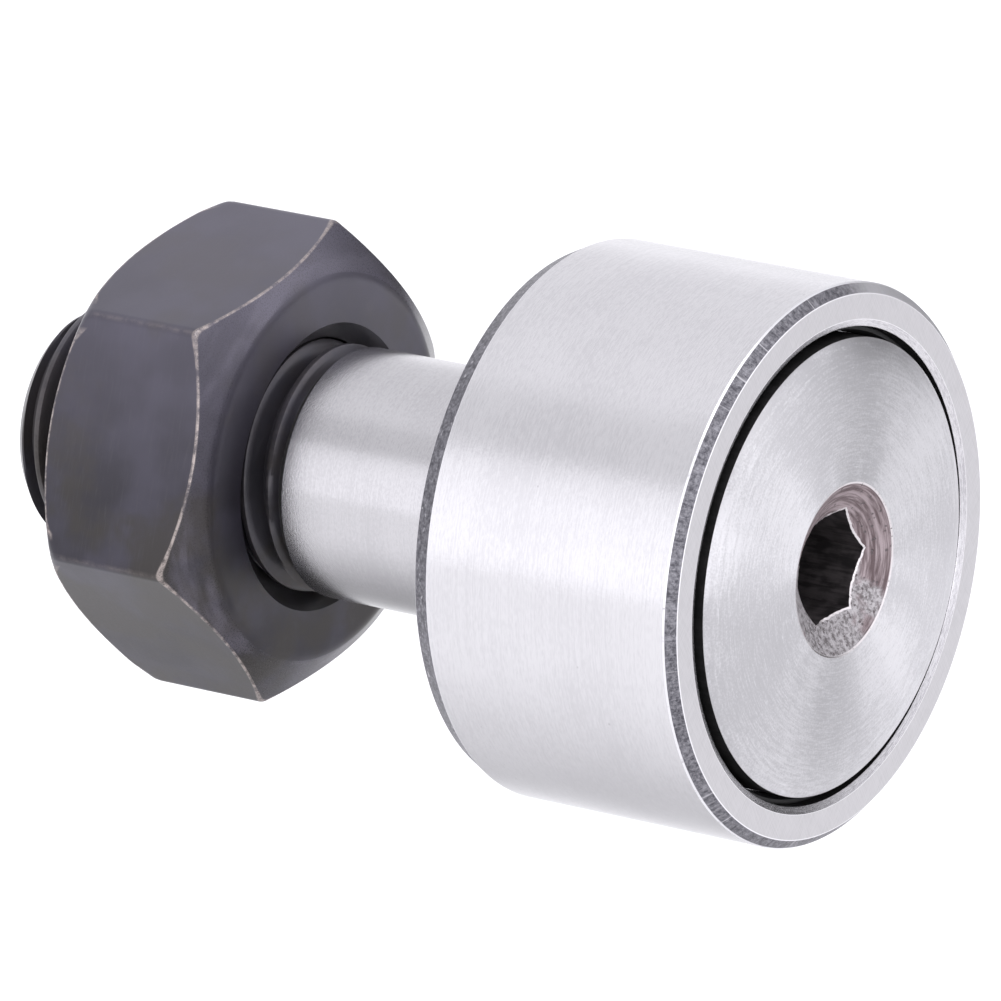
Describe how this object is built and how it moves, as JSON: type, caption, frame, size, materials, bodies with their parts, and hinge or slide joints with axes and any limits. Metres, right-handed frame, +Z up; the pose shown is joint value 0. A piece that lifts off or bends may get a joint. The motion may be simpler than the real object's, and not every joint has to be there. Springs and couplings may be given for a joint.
{
  "type": "cam follower",
  "caption": "Stud-type cam follower: a plain cylindrical outer ring turns on caged needle rollers around a shouldered stud, with a hexagon socket head and a thin black lock nut.",
  "frame": {"origin": "on the stud's axis, in the plane of the mounting shoulder, which is the side plate's rear face", "axes": "+X along the stud's axis, from the thread towards the head with the hexagon socket; +Z up"},
  "size_m": [0.0362, 0.022, 0.022],
  "materials": {
    "ring_steel": "fine ground, with dark unground chamfers",
    "stud_steel": "turned head face, ground shank, blackened thread",
    "plate_steel": "fine turned",
    "cage_steel": "pressed and phosphated",
    "needle_steel": "lapped",
    "seal_rubber": "matte moulded",
    "nut_black": "black oxide, worn to bare steel along the edges"
  },
  "bodies": {
    "stud": {"stud": "stud_steel", "side_plate": "plate_steel"},
    "outer_ring": {"outer_ring": "ring_steel", "front_seal": "seal_rubber", "rear_seal": "seal_rubber"},
    "cage": {"cage": "cage_steel"},
    "hex_nut": {"hex_nut": "nut_black"},
    "needle_01": {"needle_01": "needle_steel"},
    "needle_02": {"needle_02": "needle_steel"},
    "needle_03": {"needle_03": "needle_steel"},
    "needle_04": {"needle_04": "needle_steel"},
    "needle_05": {"needle_05": "needle_steel"},
    "needle_06": {"needle_06": "needle_steel"},
    "needle_07": {"needle_07": "needle_steel"},
    "needle_08": {"needle_08": "needle_steel"},
    "needle_09": {"needle_09": "needle_steel"},
    "needle_10": {"needle_10": "needle_steel"},
    "needle_11": {"needle_11": "needle_steel"},
    "needle_12": {"needle_12": "needle_steel"},
    "needle_13": {"needle_13": "needle_steel"},
    "needle_14": {"needle_14": "needle_steel"}
  },
  "joints": [
    {"name": "outer_ring_spin", "type": "hinge", "parent": "stud", "child": "outer_ring", "pos_m": [0.0066, 0, 0], "axis": [1, 0, 0], "continuous": true},
    {"name": "cage_spin", "type": "hinge", "parent": "stud", "child": "cage", "pos_m": [0.0066, 0, 0], "axis": [1, 0, 0], "continuous": true},
    {"name": "nut_slide", "type": "slide", "parent": "stud", "child": "hex_nut", "axis": [-1, 0, 0], "range_m": [0, 0.0125]},
    {"name": "needle_01_spin", "type": "hinge", "parent": "cage", "child": "needle_01", "pos_m": [0.0066, -0.00316, 0.00656], "axis": [1, 0, 0], "continuous": true},
    {"name": "needle_02_spin", "type": "hinge", "parent": "cage", "child": "needle_02", "pos_m": [0.0066, -0.00569, 0.00454], "axis": [1, 0, 0], "continuous": true},
    {"name": "needle_03_spin", "type": "hinge", "parent": "cage", "child": "needle_03", "pos_m": [0.0066, -0.0071, 0.00162], "axis": [1, 0, 0], "continuous": true},
    {"name": "needle_04_spin", "type": "hinge", "parent": "cage", "child": "needle_04", "pos_m": [0.0066, -0.0071, -0.00162], "axis": [1, 0, 0], "continuous": true},
    {"name": "needle_05_spin", "type": "hinge", "parent": "cage", "child": "needle_05", "pos_m": [0.0066, -0.00569, -0.00454], "axis": [1, 0, 0], "continuous": true},
    {"name": "needle_06_spin", "type": "hinge", "parent": "cage", "child": "needle_06", "pos_m": [0.0066, -0.00316, -0.00656], "axis": [1, 0, 0], "continuous": true},
    {"name": "needle_07_spin", "type": "hinge", "parent": "cage", "child": "needle_07", "pos_m": [0.0066, 0, -0.00728], "axis": [1, 0, 0], "continuous": true},
    {"name": "needle_08_spin", "type": "hinge", "parent": "cage", "child": "needle_08", "pos_m": [0.0066, 0.00316, -0.00656], "axis": [1, 0, 0], "continuous": true},
    {"name": "needle_09_spin", "type": "hinge", "parent": "cage", "child": "needle_09", "pos_m": [0.0066, 0.00569, -0.00454], "axis": [1, 0, 0], "continuous": true},
    {"name": "needle_10_spin", "type": "hinge", "parent": "cage", "child": "needle_10", "pos_m": [0.0066, 0.0071, -0.00162], "axis": [1, 0, 0], "continuous": true},
    {"name": "needle_11_spin", "type": "hinge", "parent": "cage", "child": "needle_11", "pos_m": [0.0066, 0.0071, 0.00162], "axis": [1, 0, 0], "continuous": true},
    {"name": "needle_12_spin", "type": "hinge", "parent": "cage", "child": "needle_12", "pos_m": [0.0066, 0.00569, 0.00454], "axis": [1, 0, 0], "continuous": true},
    {"name": "needle_13_spin", "type": "hinge", "parent": "cage", "child": "needle_13", "pos_m": [0.0066, 0.00316, 0.00656], "axis": [1, 0, 0], "continuous": true},
    {"name": "needle_14_spin", "type": "hinge", "parent": "cage", "child": "needle_14", "pos_m": [0.0066, 0, 0.00728], "axis": [1, 0, 0], "continuous": true}
  ],
  "couplings": [
    {"joint": "cage_spin", "follows": "outer_ring_spin", "ratio": 0.58791},
    {"joint": "needle_01_spin", "follows": "outer_ring_spin", "ratio": 2.822},
    {"joint": "needle_02_spin", "follows": "outer_ring_spin", "ratio": 2.822},
    {"joint": "needle_03_spin", "follows": "outer_ring_spin", "ratio": 2.822},
    {"joint": "needle_04_spin", "follows": "outer_ring_spin", "ratio": 2.822},
    {"joint": "needle_05_spin", "follows": "outer_ring_spin", "ratio": 2.822},
    {"joint": "needle_06_spin", "follows": "outer_ring_spin", "ratio": 2.822},
    {"joint": "needle_07_spin", "follows": "outer_ring_spin", "ratio": 2.822},
    {"joint": "needle_08_spin", "follows": "outer_ring_spin", "ratio": 2.822},
    {"joint": "needle_09_spin", "follows": "outer_ring_spin", "ratio": 2.822},
    {"joint": "needle_10_spin", "follows": "outer_ring_spin", "ratio": 2.822},
    {"joint": "needle_11_spin", "follows": "outer_ring_spin", "ratio": 2.822},
    {"joint": "needle_12_spin", "follows": "outer_ring_spin", "ratio": 2.822},
    {"joint": "needle_13_spin", "follows": "outer_ring_spin", "ratio": 2.822},
    {"joint": "needle_14_spin", "follows": "outer_ring_spin", "ratio": 2.822}
  ]
}
